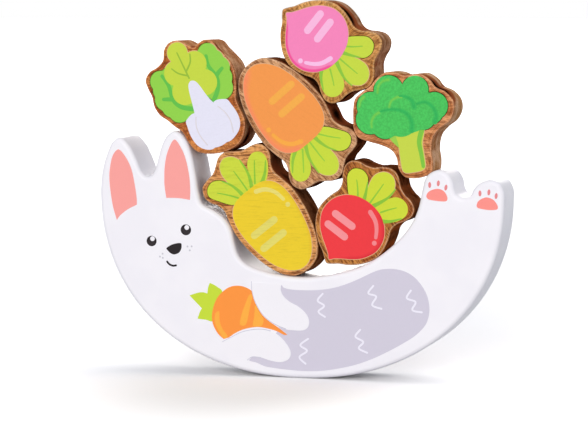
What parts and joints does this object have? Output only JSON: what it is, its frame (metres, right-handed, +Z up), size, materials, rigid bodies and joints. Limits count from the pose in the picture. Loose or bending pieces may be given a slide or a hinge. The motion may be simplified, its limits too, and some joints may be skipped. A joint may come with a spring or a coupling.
{
  "type": "stacking balance game",
  "caption": "White wooden rabbit rocker lying on its back, with vegetable-shaped wooden blocks balanced in the curve between its ears and its feet.",
  "frame": {"origin": "on the table under the middle of the rabbit, at the centre of the whole stack's box", "axes": "+Z up, +X towards the rabbit's feet, and the printed fronts face -Y"},
  "size_m": [0.208, 0.0284, 0.1879],
  "materials": {
    "painted_wood": "satin paint",
    "block_wood": "bare wood with printed fronts"
  },
  "bodies": {
    "root": {"rabbit_rocker": "painted_wood", "yellow_carrot_block": "block_wood", "red_radish_block": "block_wood", "orange_carrot_block": "block_wood", "bok_choy_block": "block_wood", "broccoli_block": "block_wood", "pink_radish_block": "block_wood"}
  },
  "joints": []
}
